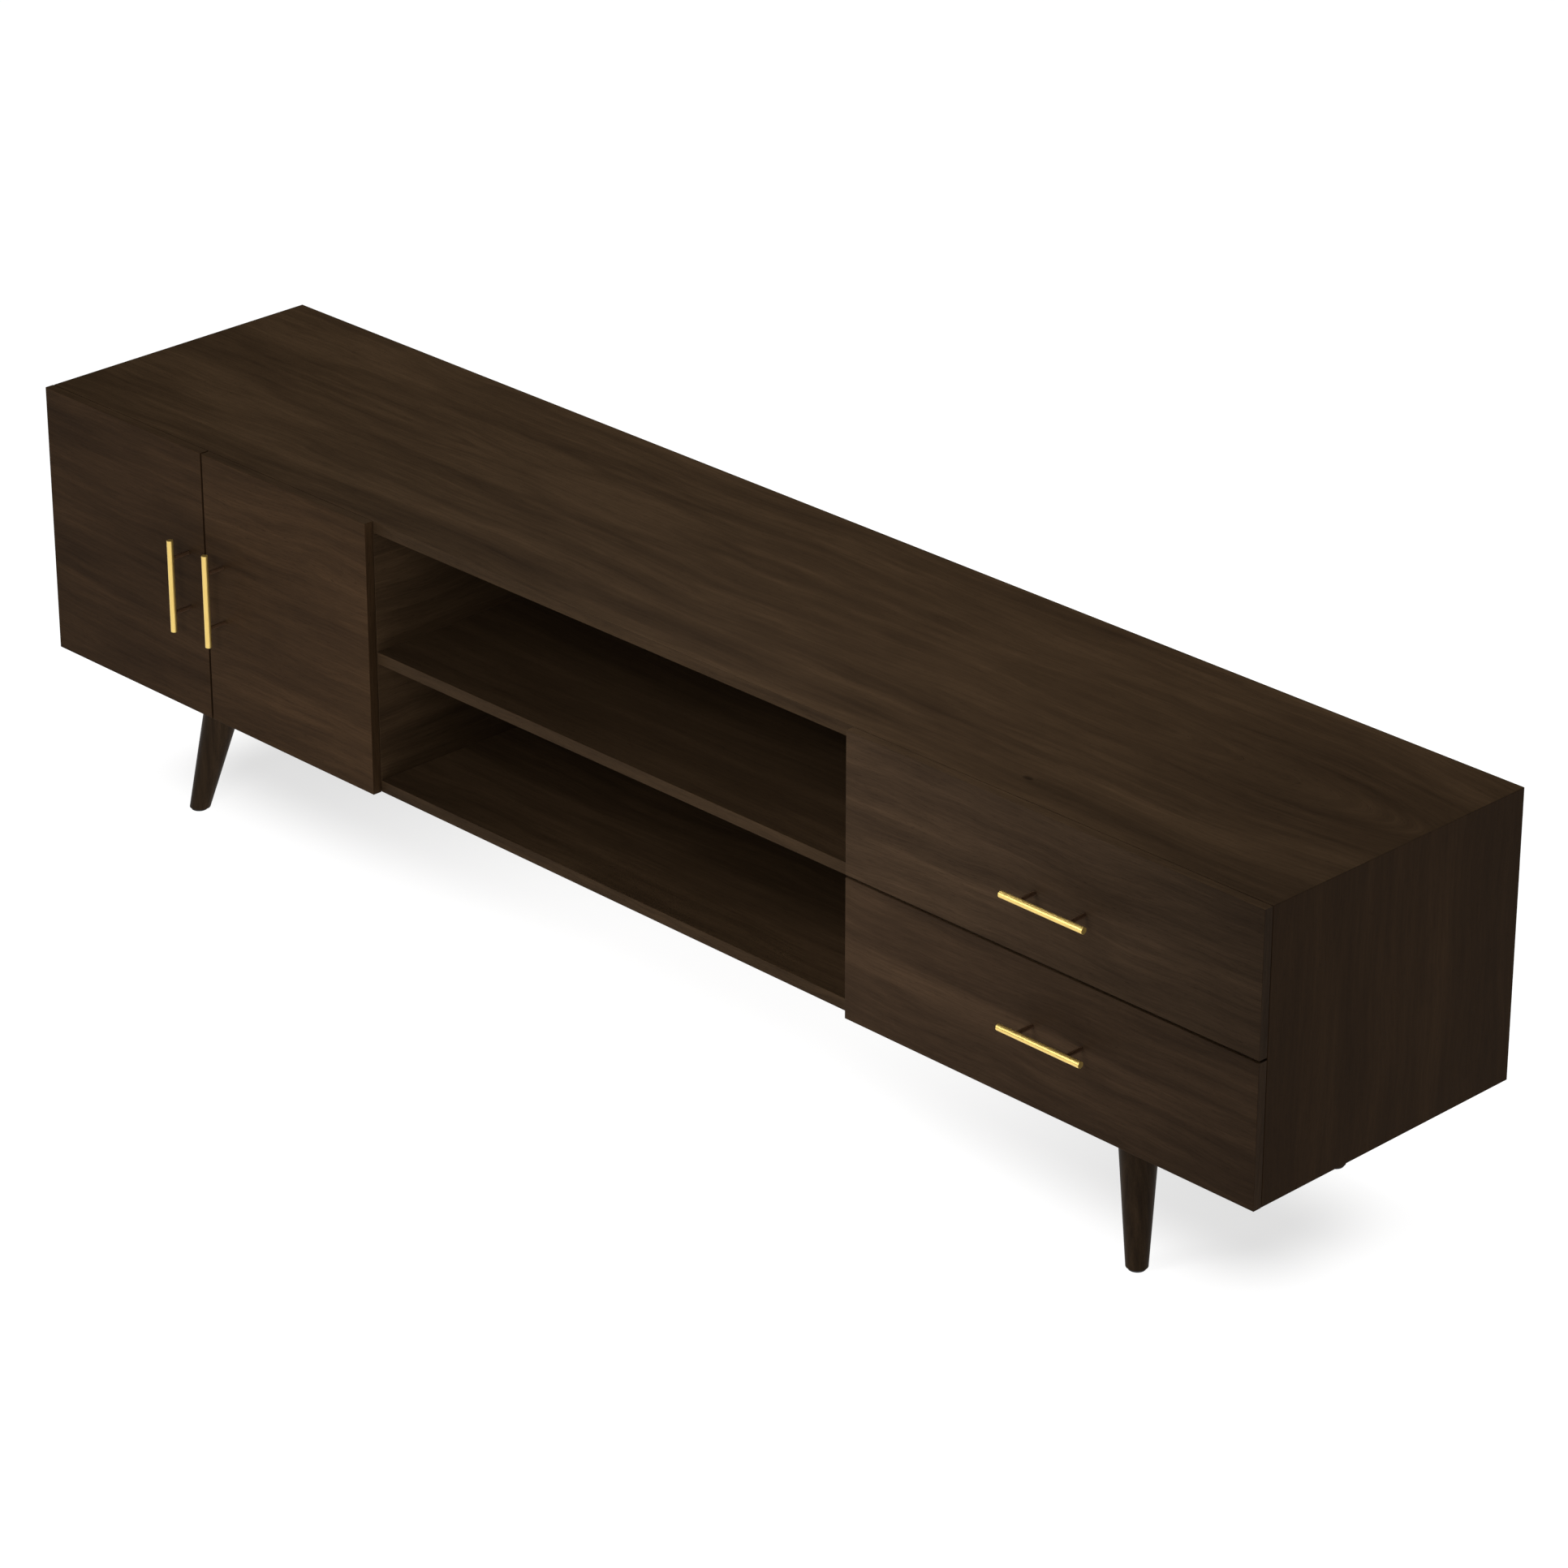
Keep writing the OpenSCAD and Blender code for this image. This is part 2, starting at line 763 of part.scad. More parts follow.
module left_hinge_cups() { color(steel) placed() on_left_jamb() hinges() hinge_cup(); }

module right_hinge_cups() { color(steel) placed() on_right_jamb() hinges() hinge_cup(); }

// ---- Pulls, drawn along Z at a front's face, with the origin at the pull's middle ----

module post_places() {
    for (side = [-1, 1]) translate([0, 0, side * post_spacing / 2]) children();
}

module pull_bar() {
    difference() {
        rod_z([0, -pull_reach, -pull_l / 2], pull_d / 2, pull_l);
        post_places() rod_y([0, -pull_reach, 0], tenon_r + fit, pull_d);
    }
}

module pull_posts() {
    post_places() difference() {
        union() {
            rod_y([0, tenon_play - pull_reach, 0], tenon_r, pull_d);
            difference() {
                rod_y([0, -pull_reach, 0], post_d / 2, pull_reach);
                rod_z([0, -pull_reach, -post_d], pull_d / 2, 2 * post_d);
            }
        }
        rod_y([0, -post_bore, 0], pull_screw[0] + fit, post_bore + cut);
    }
}

module pull_screw_places() {
    post_places() translate([0, front_t, 0]) rotate([90, 0, 0]) children();
}

module door_pull_at(x) { translate([x, front_face, case_h / 2]) children(); }

module drawer_pull_at(i) {
    x = case_w - drawer_section_w / 2 + drawer_pull_shift;
    translate([x, front_face, drawer_zs[i] + pull_above_front[i]]) rotate([0, 90, 0]) children();
}

// ---- Doors ----

module door_board(x, pull_x) {
    difference() {
        slab([x, front_face, 0], [x + door_w, -front_gap, case_h]);
        door_pull_at(pull_x) pull_screw_places() screw_hole(pull_screw);
        children();
    }
}

module cup_holes() {
    hinges() {
        rod_y([cup_x, -front_gap - cup_depth - cup_play, 0], cup_r, cup_depth + cup_play + cut);
        ear_places() screw_hole(cup_screw_size);
    }
}

left_pull_x = door_gap_x - door_pull_inset;
right_pull_x = door_gap_x + door_pull_inset;

module left_door() {
    color(front_veneer) placed() door_board(0, left_pull_x) on_left_jamb() cup_holes();
}

module left_door_pull_bar() { color(brass) placed() door_pull_at(left_pull_x) pull_bar(); }

module left_door_pull_posts() { color(dark_metal) placed() door_pull_at(left_pull_x) pull_posts(); }

module left_door_screws() {
    color(steel) placed() {
        door_pull_at(left_pull_x) pull_screw_places() screw(pull_screw);
        on_left_jamb() hinges() ear_places() cup_screw();
    }
}

module right_door() {
    color(front_veneer) placed() door_board(door_section_w - door_w, right_pull_x)
        on_right_jamb() cup_holes();
}

module right_door_pull_bar() { color(brass) placed() door_pull_at(right_pull_x) pull_bar(); }

module right_door_pull_posts() { color(dark_metal) placed() door_pull_at(right_pull_x) pull_posts(); }

module right_door_screws() {
    color(steel) placed() {
        door_pull_at(right_pull_x) pull_screw_places() screw(pull_screw);
        on_right_jamb() hinges() ear_places() cup_screw();
    }
}

// ---- Drawers and their slides ----

// One rail: a channel whose web and lips are at these distances from the case's board.
module rail(height, web_from, lip_to) {
    low = min(web_from, lip_to);
    high = max(web_from, lip_to);
    web = web_from < lip_to ? web_from : web_from - rail_t;
    slab([web, slide_y, -height / 2], [web + rail_t, slide_y + slide_l, height / 2]);
    for (side = [-1, 1])
        translate([low, slide_y, (side * (height - rail_t) - rail_t) / 2])
            cube([high - low, slide_l, rail_t]);
}

// Both sides of drawer i's slides, with children drawn outwards from the case's boards.
module slide_places(i) {
    z = drawer_zs[i] + box_above_front[i] + box_h / 2;
    translate([right_divider_x + board, 0, z]) children();
    translate([case_w - board, 0, z]) mirror([1, 0, 0]) children();
}

module rail_holes(web_x) {
    for (y = rail_screw_ys) rod_x([web_x - cut, y, 0], small_screw[0] + fit, rail_t + 2 * cut);
}

module outer_rail() {
    difference() {
        rail(outer_rail_h, 0, outer_rail_lip);
        rail_holes(0);
    }
}

module slide_outer_rails() { color(steel) placed() for (i = [0, 1]) slide_places(i) outer_rail(); }

module middle_rails(i) {
    color(zinc) placed() slide_places(i) rail(middle_rail_h, middle_rail_web, middle_rail_lip);
}

module upper_slide_middle_rails() { middle_rails(1); }

module lower_slide_middle_rails() { middle_rails(0); }

module inner_rails(i) {
    color(steel) placed() slide_places(i) difference() {
        rail(inner_rail_h, slide_gap, inner_rail_lip);
        rail_holes(slide_gap - rail_t);
    }
}

module upper_drawer_inner_rails() { inner_rails(1); }

module lower_drawer_inner_rails() { inner_rails(0); }

box_x = right_divider_x + board + slide_gap;

function box_z(i) = drawer_zs[i] + box_above_front[i];

// A drawer's bottom board, which runs in grooves in the sides and in the front.
module bottom_board(i) {
    z = box_z(i) + bottom_lift;
    slab([box_x + box_t - bottom_groove, -front_gap - front_groove, z],
         [box_x + box_w - box_t + bottom_groove, box_d - front_gap, z + bottom_t]);
}

module inner_rail_screws(i) {
    slide_places(i) for (y = rail_screw_ys)
        translate([slide_gap - rail_t, y, 0]) facing_x() children();
}

module drawer_front(i) {
    color(front_veneer) placed() difference() {
        slab([right_divider_x, front_face, drawer_zs[i]],
             [case_w, -front_gap, drawer_zs[i] + drawer_front_h]);
        bottom_board(i);
        drawer_pull_at(i) pull_screw_places() screw_hole(pull_screw);
    }
}

module drawer_sides(i) {
    color(plywood) placed() difference() {
        for (x = [box_x, box_x + box_w - box_t])
            slab([x, -front_gap, box_z(i)], [x + box_t, box_d - front_gap, box_z(i) + box_h]);
        bottom_board(i);
        inner_rail_screws(i) screw_hole(slide_screw);
    }
}

module drawer_back(i) {
    color(plywood) placed()
        slab([box_x + box_t, box_d - front_gap - box_t, box_z(i) + bottom_lift + bottom_t],
             [box_x + box_w - box_t, box_d - front_gap, box_z(i) + box_h]);
}

module drawer_bottom(i) { color(plywood) placed() bottom_board(i); }

module drawer_pull_bar(i) { color(brass) placed() drawer_pull_at(i) pull_bar(); }

module drawer_pull_posts(i) { color(dark_metal) placed() drawer_pull_at(i) pull_posts(); }

module drawer_screws(i) {
    color(steel) placed() {
        drawer_pull_at(i) pull_screw_places() screw(pull_screw);
        inner_rail_screws(i) screw(slide_screw);
    }
}

module upper_drawer_front() { drawer_front(1); }

module upper_drawer_sides() { drawer_sides(1); }

module upper_drawer_back() { drawer_back(1); }

module upper_drawer_bottom() { drawer_bottom(1); }

module upper_drawer_pull_bar() { drawer_pull_bar(1); }

module upper_drawer_pull_posts() { drawer_pull_posts(1); }

module upper_drawer_screws() { drawer_screws(1); }

module lower_drawer_front() { drawer_front(0); }

module lower_drawer_sides() { drawer_sides(0); }

module lower_drawer_back() { drawer_back(0); }

module lower_drawer_bottom() { drawer_bottom(0); }

module lower_drawer_pull_bar() { drawer_pull_bar(0); }

module lower_drawer_pull_posts() { drawer_pull_posts(0); }

module lower_drawer_screws() { drawer_screws(0); }

top_panel();
bottom_panel();
left_side_panel();
right_side_panel();
left_divider();
right_divider();
centre_shelf();
cupboard_shelf();
shelf_pins();
left_back_panel();
centre_back_panel();
right_back_panel();
cable_grommets();
dowels();
cam_discs();
cam_bolts();
case_screws();
front_left_leg();
front_right_leg();
rear_left_leg();
rear_right_leg();
leg_bolts();
leg_tee_nuts();
foot_glides();
hinge_plates();
hinge_arms();
slide_outer_rails();
left_hinge_links();
left_hinge_pins();
right_hinge_links();
right_hinge_pins();
left_door();
left_door_pull_bar();
left_door_pull_posts();
left_hinge_cups();
left_door_screws();
right_door();
right_door_pull_bar();
right_door_pull_posts();
right_hinge_cups();
right_door_screws();
upper_drawer_front();
upper_drawer_sides();
upper_drawer_back();
upper_drawer_bottom();
upper_drawer_pull_bar();
upper_drawer_pull_posts();
upper_drawer_inner_rails();
upper_drawer_screws();
upper_slide_middle_rails();
lower_drawer_front();
lower_drawer_sides();
lower_drawer_back();
lower_drawer_bottom();
lower_drawer_pull_bar();
lower_drawer_pull_posts();
lower_drawer_inner_rails();
lower_drawer_screws();
lower_slide_middle_rails();
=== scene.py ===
"""A long low media console: materials, softened edges, studio and camera around its CAD frame."""

import math

import bpy
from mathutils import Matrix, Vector


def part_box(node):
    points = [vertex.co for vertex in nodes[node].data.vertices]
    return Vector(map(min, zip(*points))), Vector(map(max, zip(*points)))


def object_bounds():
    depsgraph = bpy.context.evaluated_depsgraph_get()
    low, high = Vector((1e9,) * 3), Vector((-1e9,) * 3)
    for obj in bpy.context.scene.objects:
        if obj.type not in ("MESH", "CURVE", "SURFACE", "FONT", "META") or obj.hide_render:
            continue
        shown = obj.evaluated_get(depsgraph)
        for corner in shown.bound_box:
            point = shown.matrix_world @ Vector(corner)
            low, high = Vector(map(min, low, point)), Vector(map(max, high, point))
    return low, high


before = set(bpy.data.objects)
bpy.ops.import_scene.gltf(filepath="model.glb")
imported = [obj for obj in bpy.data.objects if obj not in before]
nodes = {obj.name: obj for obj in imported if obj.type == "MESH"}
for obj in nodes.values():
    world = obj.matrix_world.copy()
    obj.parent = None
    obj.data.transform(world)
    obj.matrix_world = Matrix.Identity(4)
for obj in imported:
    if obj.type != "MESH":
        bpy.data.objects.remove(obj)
cad_box = [list(corner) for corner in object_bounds()]
scene = bpy.context.scene

MM = 0.001
HALF_LENGTH = cad_box[1][0]
WHITE = (1.0, 1.0, 1.0)


# ---- Node graphs ----

# Nearly all of a noise's values lie between these two.
NOISE_LOW = 0.3
NOISE_HIGH = 0.7


class Graph:
    """A node tree, with one short call for each kind of node used here."""

    def __init__(self, tree):
        self.tree = tree

    def add(self, kind, **settings):
        node = self.tree.nodes.new("ShaderNode" + kind)
        for name, value in settings.items():
            setattr(node, name, value)
        return node

    def put(self, socket, value):
        """Links another node's output into the socket, or sets a plain value on it."""
        if isinstance(value, bpy.types.NodeSocket):
            self.tree.links.new(value, socket)
        else:
            socket.default_value = value

    def math(self, operation, a, b=0.0):
        node = self.add("Math", operation=operation)
        self.put(node.inputs[0], a)
        self.put(node.inputs[1], b)
        return node.outputs[0]

    def scaled_sum(self, a, factor, b):
        """a times factor, plus b."""
        node = self.add("Math", operation="MULTIPLY_ADD")
        for socket, value in zip(node.inputs, (a, factor, b)):
            self.put(socket, value)
        return node.outputs[0]

    def xyz(self, x, y, z):
        node = self.add("CombineXYZ")
        for socket, value in zip(node.inputs, (x, y, z)):
            self.put(socket, value)
        return node.outputs[0]

    def split(self, vector):
        node = self.add("SeparateXYZ")
        self.put(node.inputs[0], vector)
        return node.outputs[0], node.outputs[1], node.outputs[2]

    def here(self):
        """X, Y and Z of the point being shaded, in metres in the cabinet's frame."""
        return self.split(self.add("TexCoord").outputs["Object"])

    def stretch(self, parts, per_metre):
        """A vector of the parts, each times how many features a noise shows along it in a metre.
        A part that only says which sheet it is has None, and stays as it is."""
        return self.xyz(*[part if number is None else self.math("MULTIPLY", part, number)
                          for part, number in zip(parts, per_metre)])

    def noise(self, at, detail=2.0, rough=0.5):
        node = self.add("TexNoise", noise_dimensions="3D")
        self.put(node.inputs["Vector"], at)
        self.put(node.inputs["Scale"], 1.0)
        self.put(node.inputs["Detail"], detail)
        self.put(node.inputs["Roughness"], rough)
        return node.outputs["Fac"]

    def spread(self, value, low, high, to_low=0.0, to_high=1.0, smooth=False):
        """Goes from to_low to to_high as the value goes from low to high, and stays there beyond."""
        node = self.add("MapRange", interpolation_type="SMOOTHSTEP" if smooth else "LINEAR")
        for name, number in (("From Min", low), ("From Max", high), ("To Min", to_low), ("To Max", to_high)):
            self.put(node.inputs[name], number)
        self.put(node.inputs["Value"], value)
        return node.outputs["Result"]

    def vary(self, noise, least, most):
        """Goes from least to most as the noise rises."""
        return self.spread(noise, NOISE_LOW, NOISE_HIGH, least, most)

    def mix(self, factor, a, b, blend="MIX"):
        node = self.add("Mix", data_type="RGBA", blend_type=blend)
        self.put(node.inputs[0], factor)
        self.put(node.inputs[6], a)
        self.put(node.inputs[7], b)
        return node.outputs[2]

    def lit(self, colour, level):
        """The colour times a level of lightness."""
        return self.mix(1.0, colour, self.xyz(level, level, level), "MULTIPLY")

    def pick(self, factor, a, b):
        """Vector a where factor is 0 and b where it is 1."""
        node = self.add("Mix", data_type="VECTOR")
        self.put(node.inputs[0], factor)
        self.put(node.inputs[4], a)
        self.put(node.inputs[5], b)
        return node.outputs[1]

    def ramp(self, value, *stops):
        node = self.add("ValToRGB")
        self.put(node.inputs[0], value)
        elements = node.color_ramp.elements
        while len(elements) < len(stops):
            elements.new(0.5)
        for element, (place, colour) in zip(elements, stops):
            element.position = place
            element.color = colour
        return node.outputs[0]

    def bump(self, height, distance, strength=1.0):
        node = self.add("Bump")
        self.put(node.inputs["Strength"], strength)
        self.put(node.inputs["Distance"], distance)
        self.put(node.inputs["Height"], height)
        return node.outputs["Normal"]


def srgb(red, green, blue):
    """A colour from 0 to 255, as Blender's linear colour."""
    def linear(value):
        value = value / 255
        return value / 12.92 if value <= 0.04045 else ((value + 0.055) / 1.055) ** 2.4
    return (linear(red), linear(green), linear(blue), 1.0)


def new_material(name):
    material = bpy.data.materials.new(name)
    material.use_nodes = True
    graph = Graph(material.node_tree)
    return material, graph, material.node_tree.nodes["Principled BSDF"].inputs


def dress(material, *names):
    for name in names:
        for slot in nodes[name].material_slots:
            slot.material = material


# ---- Wood ----

# Which way the grain runs on the faces that look along X, Y and Z.
LENGTHWISE = ("z", "x", "x")
UPRIGHT = ("z", "z", "y")
IN_DEPTH = ("y", "z", "y")

DARK_STREAK = srgb(37, 27, 18)
MID_WOOD = srgb(54, 41, 28)
LIGHT_STREAK = srgb(70, 54, 38)
PORE = srgb(21, 15, 10)

# The tones, from 0 to 1, that have the three wood colours.
DARK_TONE = 0.12
MID_TONE = 0.48
LIGHT_TONE = 0.85

# How far apart in the noise a sheet's figure is on faces that look different ways.
FACE_STEP = 0.37
# A face looks along an axis when its normal has more than this of it.
FACING_LIMIT = 0.7

LACQUER_SPECULAR = 0.012
NO_TINT = WHITE
# No painted shade along a front: its lightness is the same all along it.
NO_PAINTED_FALLOFF = dict(low=0.0, high=1.0, to_low=1.0, to_high=1.0)


def facing(graph, axis):
    """1 on faces that look along the axis, and 0 elsewhere."""
    normal = graph.split(graph.add("TexCoord").outputs["Normal"])
    return graph.math("GREATER_THAN", graph.math("ABSOLUTE", normal["xyz".index(axis)]), FACING_LIMIT)


def sheet_place(graph, grain, sheet):
    """Where a point lies on its sheet of veneer: along the grain, across it, and which sheet."""
    x, y, z = graph.here()
    along_of = {"x": x, "y": y, "z": z}
    across_of = {
        "X": {"y": z, "z": y},
        "Y": {"x": z, "z": x},
        "Z": {"x": y, "y": x},
    }
    place = [graph.xyz(along_of[g], across_of[face][g], sheet + FACE_STEP * i)
             for i, (face, g) in enumerate(zip("XYZ", grain))]
    return graph.pick(facing(graph, "x"), graph.pick(facing(graph, "y"), place[2], place[1]), place[0])


def bend_grain(graph, u, v, w):
    """Moves points across the grain by slow, middling and quick noise, so that its lines wander."""
    wander = graph.noise(graph.stretch((u, v, w), (1.7, 5.0, None)))
    sway = graph.noise(graph.stretch((u, v, w), (4.5, 9.0, None)))
    ripple = graph.noise(graph.stretch((u, v, w), (14.0, 24.0, None)))
    for noise, reach in ((wander, 60 * MM), (sway, 20 * MM), (ripple, 3 * MM)):
        v = graph.scaled_sum(noise, reach, v)
    return v


def walnut_figure():
    """The group that turns a place on a veneer sheet into streak tone, fibre and pores."""
    tree = bpy.data.node_groups.new("walnut_figure", "ShaderNodeTree")
    tree.interface.new_socket("Place", in_out="INPUT", socket_type="NodeSocketVector")
    for name in ("Tone", "Fibre", "Pore"):
        tree.interface.new_socket(name, in_out="OUTPUT", socket_type="NodeSocketFloat")
    graph = Graph(tree)
    source = tree.nodes.new("NodeGroupInput")
    result = tree.nodes.new("NodeGroupOutput")
    u, v, w = graph.split(source.outputs[0])
    v = bend_grain(graph, u, v, w)

    def layer(along, across, detail, rough=0.5):
        """Noise with this many features in a metre along and across the grain."""
        return graph.noise(graph.stretch((u, v, w), (along, across, None)), detail, rough)

    broad = graph.spread(layer(along=1.7, across=16, detail=2), low=0.25, high=0.75)
    streak = graph.spread(layer(along=4.6, across=75, detail=3, rough=0.6), low=0.2, high=0.8)
    thread = graph.spread(layer(along=12, across=310, detail=2, rough=0.6), low=0.25, high=0.75)
    mottle = graph.spread(layer(along=10, across=36, detail=2, rough=0.6), low=0.25, high=0.75)
    tone = 0.0
    for part, share in ((broad, 0.34), (streak, 0.36), (thread, 0.18), (mottle, 0.12)):
        tone = graph.scaled_sum(part, share, tone)
    dash = layer(along=95, across=2300, detail=1)
    graph.put(result.inputs["Tone"], tone)
    graph.put(result.inputs["Fibre"], layer(along=45, across=1900, detail=2, rough=0.6))
    graph.put(result.inputs["Pore"], graph.spread(dash, low=0.66, high=0.74))
    return tree


FIGURE = walnut_figure()


def finish_wood(graph, shader, place, level=1.0, tint=NO_TINT, tinted=1.0, contrast=1.0):
    """Walnut colour, satin lacquer and open pores from a place on the sheet.
    level is its lightness there, and tinted says where the tint applies, from 0 to 1."""
    pore_colour_share = 0.6
    pore_roughness = 0.2
    fibre_height = 0.35
    figure = graph.add("Group", node_tree=FIGURE)
    graph.put(figure.inputs[0], place)
    tone, fibre, pore = figure.outputs
    tone = graph.scaled_sum(tone, contrast, MID_TONE * (1 - contrast))
    colour = graph.ramp(tone, (DARK_TONE, DARK_STREAK), (MID_TONE, MID_WOOD), (LIGHT_TONE, LIGHT_STREAK))
    colour = graph.mix(tinted, colour, (*tint, 1.0), "MULTIPLY")
    colour = graph.lit(colour, graph.math("MULTIPLY", graph.vary(fibre, least=0.84, most=1.14), level))
    colour = graph.mix(graph.math("MULTIPLY", pore, pore_colour_share), colour, PORE)
    graph.put(shader["Base Color"], colour)
    rough = graph.vary(fibre, least=0.38, most=0.48)
    graph.put(shader["Roughness"], graph.scaled_sum(pore, pore_roughness, rough))
    shader["Specular IOR Level"].default_value = LACQUER_SPECULAR
    height = graph.scaled_sum(pore, -1.0, graph.math("MULTIPLY", fibre, fibre_height))
    graph.put(shader["Normal"], graph.bump(height, distance=0.05 * MM, strength=0.6))


def growth_band(graph, place, height, slope, fade, strength):
    """Level of a growth band: it starts sharply at a height across the grain, which changes by the
    slope along it, and fades away below that. Strength is how much lighter it is, or darker if negative."""
    wobble_per_metre = 9.0
    wobble_height = 20 * MM
    edge = 4 * MM
    u, v, w = graph.split(place)
    wobble = graph.noise(graph.xyz(graph.math("MULTIPLY", u, wobble_per_metre), 0.0, w), 3.0)
    middle = graph.scaled_sum(u, slope, height - wobble_height / 2)
    below = graph.math("SUBTRACT", graph.scaled_sum(wobble, wobble_height, middle), v)
    inside = graph.spread(below, 0.0, edge, smooth=True)
    fading = graph.spread(below, edge, fade, 1.0, 0.0, smooth=True)
    return graph.scaled_sum(graph.math("MULTIPLY", inside, fading), strength, 1.0)


def pin_knot(graph, place, along, across):
    """Level round a pin knot, with the dark tail that the grain draws out from it."""
    squash = 4.0  # the knot is twice as long as it is wide
    core_depth, tail_depth = 0.6, 0.24
    u, v, _ = graph.split(place)
    out = graph.math("SUBTRACT", u, along)
    side = graph.math("ABSOLUTE", graph.math("SUBTRACT", v, across))
    squashed = graph.math("MULTIPLY", graph.math("MULTIPLY", side, side), squash)
    reach = graph.math("SQRT", graph.scaled_sum(out, out, squashed))
    core = graph.spread(reach, 3 * MM, 11 * MM, core_depth, 0.0, smooth=True)
    tail_starts = graph.spread(out, 0.0, 8 * MM)
    tail_ends = graph.spread(out, 20 * MM, 200 * MM, 1.0, 0.0)
    beside_tail = graph.spread(side, 2 * MM, 12 * MM, tail_depth, 0.0, smooth=True)
    tail = graph.math("MULTIPLY", graph.math("MULTIPLY", tail_starts, tail_ends), beside_tail)
    return graph.math("SUBTRACT", 1.0, graph.math("MAXIMUM", core, tail))


def arched(graph, place, along, across, opening):
    """Measures across the grain from the tree's centre, so that rings show as nested arches."""
    sides_apart = 0.02  # in the noise, so that the two sides of the arches differ
    u, v, w = graph.split(place)
    drop = graph.math("MULTIPLY", graph.math("MAXIMUM", graph.math("SUBTRACT", u, along), 0.0), opening)
    side = graph.math("SUBTRACT", v, across)
    ring = graph.math("SQRT", graph.scaled_sum(drop, drop, graph.math("MULTIPLY", side, side)))
    return graph.xyz(u, ring, graph.scaled_sum(graph.math("SIGN", side), sides_apart, w))


def top_sheet(graph):
    """Place and level on the sheet that covers the top and runs on over the fronts' upper edges."""
    knot_along = 0.62
    place = sheet_place(graph, LENGTHWISE, sheet=1.3)
    knot = pin_knot(graph, place, knot_along, across=-0.137)
    band = growth_band(graph, place, height=-0.125, slope=0.0, fade=0.085, strength=-0.13)
    return arched(graph, place, knot_along, across=0.06, opening=0.12), graph.math("MULTIPLY", knot, band)


def walnut(name, grain, sheet, tint=NO_TINT, contrast=1.0, front_edge_shade=1.0):
    """The level on faces that look forwards or back, given last, is painted shade where it is below 1."""
    material, graph, shader = new_material(name)
    level = graph.spread(facing(graph, "y"), 0.0, 1.0, 1.0, front_edge_shade)
    finish_wood(graph, shader, sheet_place(graph, grain, sheet), level, tint, contrast=contrast)
    return material


def walnut_top():
    material, graph, shader = new_material("walnut_top")
    finish_wood(graph, shader, *top_sheet(graph))
    return material


def walnut_front(name, sheet, tint, band, painted_falloff=NO_PAINTED_FALLOFF):
    """A door or drawer front, whose upper edge carries on the figure of the top beside it.
    Its level can also change along its length, as painted light and shade: the drawer fronts are lighter
    towards the cabinet's middle and darker towards its right end."""
    # The faces at a front's two ends are darkened to this level, as painted shade.
    end_shade_level = 0.75
    material, graph, shader = new_material(name)
    place = sheet_place(graph, LENGTHWISE, sheet)
    top_place, top_level = top_sheet(graph)
    up = facing(graph, "z")
    along = graph.split(place)[0]
    level = graph.math("MULTIPLY", growth_band(graph, place, **band), graph.spread(along, **painted_falloff))
    # Painted shade on the front's end faces.
    level = graph.math("MULTIPLY", level, graph.spread(facing(graph, "x"), 0.0, 1.0, 1.0, end_shade_level))
    level = graph.spread(up, 0.0, 1.0, level, top_level)
    finish_wood(graph, shader, graph.pick(up, place, top_place), level, tint, graph.math("SUBTRACT", 1.0, up))
    return material


def veneered_case():
    pale = (1.2, 1.2, 1.2)
    shelf_tint = (1.1, 1.1, 1.1)
    # The side panels are darkened as painted shade, for the cabinet's ends that take less light.
    side_shade_tint = (0.75, 0.67, 0.57)
    dress(walnut_top(), "top_panel")
    # The bottom panel's front and back faces are darkened to 0.8 as painted shade.
    dress(walnut("walnut_bottom", LENGTHWISE, 7.1, pale, front_edge_shade=0.8), "bottom_panel")
    dress(walnut("walnut_shelves", LENGTHWISE, 12.9, shelf_tint, contrast=0.8),
          "centre_shelf", "cupboard_shelf")
    dress(walnut("walnut_left_side", UPRIGHT, 19.4, side_shade_tint, contrast=0.6), "left_side_panel")
    dress(walnut("walnut_right_side", UPRIGHT, 26.2, side_shade_tint, contrast=0.6), "right_side_panel")
    dress(walnut("walnut_dividers", IN_DEPTH, 33.8, pale), "left_divider", "right_divider")


def veneered_fronts():
    dress(walnut_front("walnut_left_door", 41.5, tint=(1.08, 0.99, 0.91),
                       band=dict(height=0.237, slope=-0.057, fade=0.03, strength=0.10)), "left_door")
    dress(walnut_front("walnut_right_door", 41.9, tint=(1.2, 1.1, 1.0),
                       band=dict(height=0.416, slope=-0.080, fade=0.09, strength=0.16)), "right_door")
    # The drawer fronts carry painted light and shade: lighter towards the middle, darker towards the right
    # end.
    dress(walnut_front("walnut_upper_front", 55.3, tint=(0.99, 1.0, 1.07),
                       band=dict(height=0.379, slope=0.062, fade=0.05, strength=0.16),
                       painted_falloff=dict(low=0.4, high=1.0, to_low=1.18, to_high=0.74)), "upper_drawer_front")
    dress(walnut_front("walnut_lower_front", 62.7, tint=(1.0, 0.98, 1.03),
                       band=dict(height=0.277, slope=-0.005, fade=0.05, strength=0.16),
                       painted_falloff=dict(low=0.4, high=1.0, to_low=1.1, to_high=0.82)), "lower_drawer_front")


